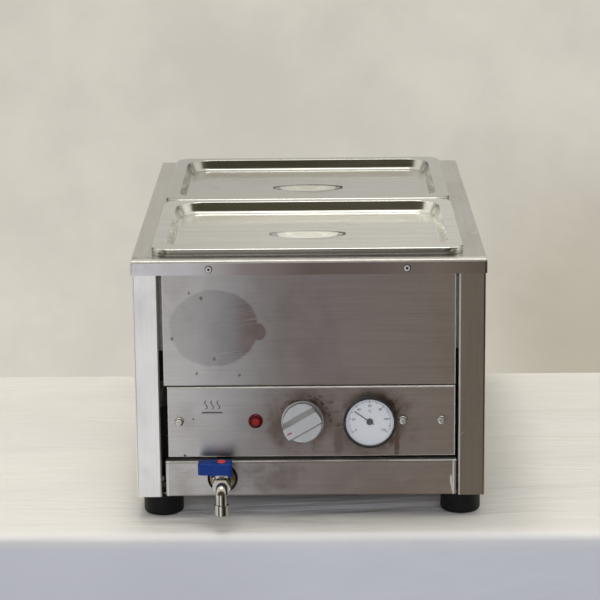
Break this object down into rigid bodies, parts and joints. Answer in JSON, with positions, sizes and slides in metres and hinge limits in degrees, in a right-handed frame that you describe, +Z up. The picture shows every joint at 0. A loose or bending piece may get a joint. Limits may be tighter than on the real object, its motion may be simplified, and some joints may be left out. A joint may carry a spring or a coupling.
{
  "type": "steam table unit",
  "caption": "Counter-top steam table: stainless cabinet with a heated water well, half-size pans with lids, thermostat knob, dial thermometer, pilot lamp and front drain tap.",
  "frame": {"origin": "on the counter, at the bottom centre of the whole object's box", "axes": "+X to the operator's right, +Y from the control side to the back, +Z up"},
  "size_m": [0.368, 0.6346, 0.2864],
  "materials": {
    "cabinet_steel": "brushed, lightly scratched and stained",
    "deck_steel": "brushed, worn satin",
    "lid_steel": "bright drawn stainless",
    "pan_steel": "bright drawn stainless",
    "fastener_steel": "plated, slightly dulled",
    "galvanised": "galvanised",
    "foot_rubber": "matt black",
    "lamp_red": "translucent red",
    "knob_silver": "satin silver",
    "mark_red": "printed red",
    "black_plastic": "moulded",
    "gauge_chrome": "polished",
    "gauge_black": "satin black",
    "clear_glass": "clear",
    "dial_white": "matt white, printed",
    "tap_chrome": "nickel plated",
    "tap_brass": "tarnished",
    "lever_blue": "moulded blue",
    "cap_red": "moulded red",
    "ptfe": "white",
    "copper_capillary": "drawn copper",
    "element_sheath": "oxidised sheath",
    "ceramic_white": "unglazed",
    "insulation": "glass-fibre blanket",
    "wire_insulation": "insulated wire",
    "gland_grey": "nylon"
  },
  "bodies": {
    "cabinet": {"base_tray": "cabinet_steel", "control_panel": "cabinet_steel", "cutout_bracket": "galvanised", "cutout_switch": "black_plastic", "deck_rivets": "fastener_steel", "drain_backnut": "tap_brass", "drain_pipe": "pan_steel", "drain_spout": "tap_chrome", "earth_stud": "tap_brass", "element_clamps": "galvanised", "element_terminals": "ceramic_white", "foot_bolts": "fastener_steel", "foot_nuts": "fastener_steel", "front_upper_panel": "cabinet_steel", "gauge_bezel": "gauge_black", "gauge_capillary": "copper_capillary", "gauge_case": "gauge_chrome", "gauge_clamp": "galvanised", "gauge_dial": "dial_white", "gauge_glass": "clear_glass", "gland_body": "gland_grey", "gland_dome": "gland_grey", "gland_locknut": "gland_grey", "gland_seal": "foot_rubber", "heat_shield": "galvanised", "heating_element": "element_sheath", "hex_nuts": "fastener_steel", "lamp_body": "black_plastic", "lamp_lens": "lamp_red", "panel_brackets": "gauge_black", "panel_screws": "fastener_steel", "rear_panel": "cabinet_steel", "rubber_feet": "foot_rubber", "side_panel_left": "cabinet_steel", "side_panel_right": "cabinet_steel", "tank_insulation": "insulation", "terminal_block": "ceramic_white", "thermostat_body": "black_plastic", "thermostat_capillary": "copper_capillary", "thermostat_screws": "fastener_steel", "top_deck": "deck_steel", "union_nut": "tap_chrome", "valve_body": "tap_chrome", "valve_seats": "ptfe", "water_tank": "pan_steel", "wiring": "wire_insulation"},
    "pan_front": {"pan_front": "pan_steel"},
    "pan_rear": {"pan_rear": "pan_steel"},
    "lid_front": {"lid_front": "lid_steel", "lid_handle_front": "lid_steel"},
    "lid_rear": {"lid_rear": "lid_steel", "lid_handle_rear": "lid_steel"},
    "knob": {"thermostat_knob": "knob_silver", "knob_mark": "mark_red", "thermostat_shaft": "fastener_steel"},
    "tap_lever": {"valve_lever": "lever_blue", "lever_cap": "cap_red", "valve_stem": "tap_chrome", "valve_ball": "tap_chrome"},
    "needle": {"gauge_pointer": "gauge_black"}
  },
  "joints": [
    {"name": "pan_front_lift", "type": "slide", "parent": "cabinet", "child": "pan_front", "axis": [0, 0, 1], "range_m": [0, 0.15]},
    {"name": "pan_rear_lift", "type": "slide", "parent": "cabinet", "child": "pan_rear", "axis": [0, 0, 1], "range_m": [0, 0.15]},
    {"name": "lid_front_lift", "type": "slide", "parent": "pan_front", "child": "lid_front", "axis": [0, 0, 1], "range_m": [0, 0.08]},
    {"name": "lid_rear_lift", "type": "slide", "parent": "pan_rear", "child": "lid_rear", "axis": [0, 0, 1], "range_m": [0, 0.08]},
    {"name": "thermostat_turn", "type": "hinge", "parent": "cabinet", "child": "knob", "pos_m": [-0.0079, -0.2767, 0.1063], "axis": [0, 1, 0], "range_deg": [0, 220]},
    {"name": "tap_turn", "type": "hinge", "parent": "cabinet", "child": "tap_lever", "pos_m": [-0.0923, -0.2887, 0.0642], "axis": [0, 0, 1], "range_deg": [0, 90]},
    {"name": "needle_swing", "type": "hinge", "parent": "cabinet", "child": "needle", "pos_m": [0.0622, -0.2717, 0.1063], "axis": [0, 1, 0], "range_deg": [-68, 178]}
  ]
}
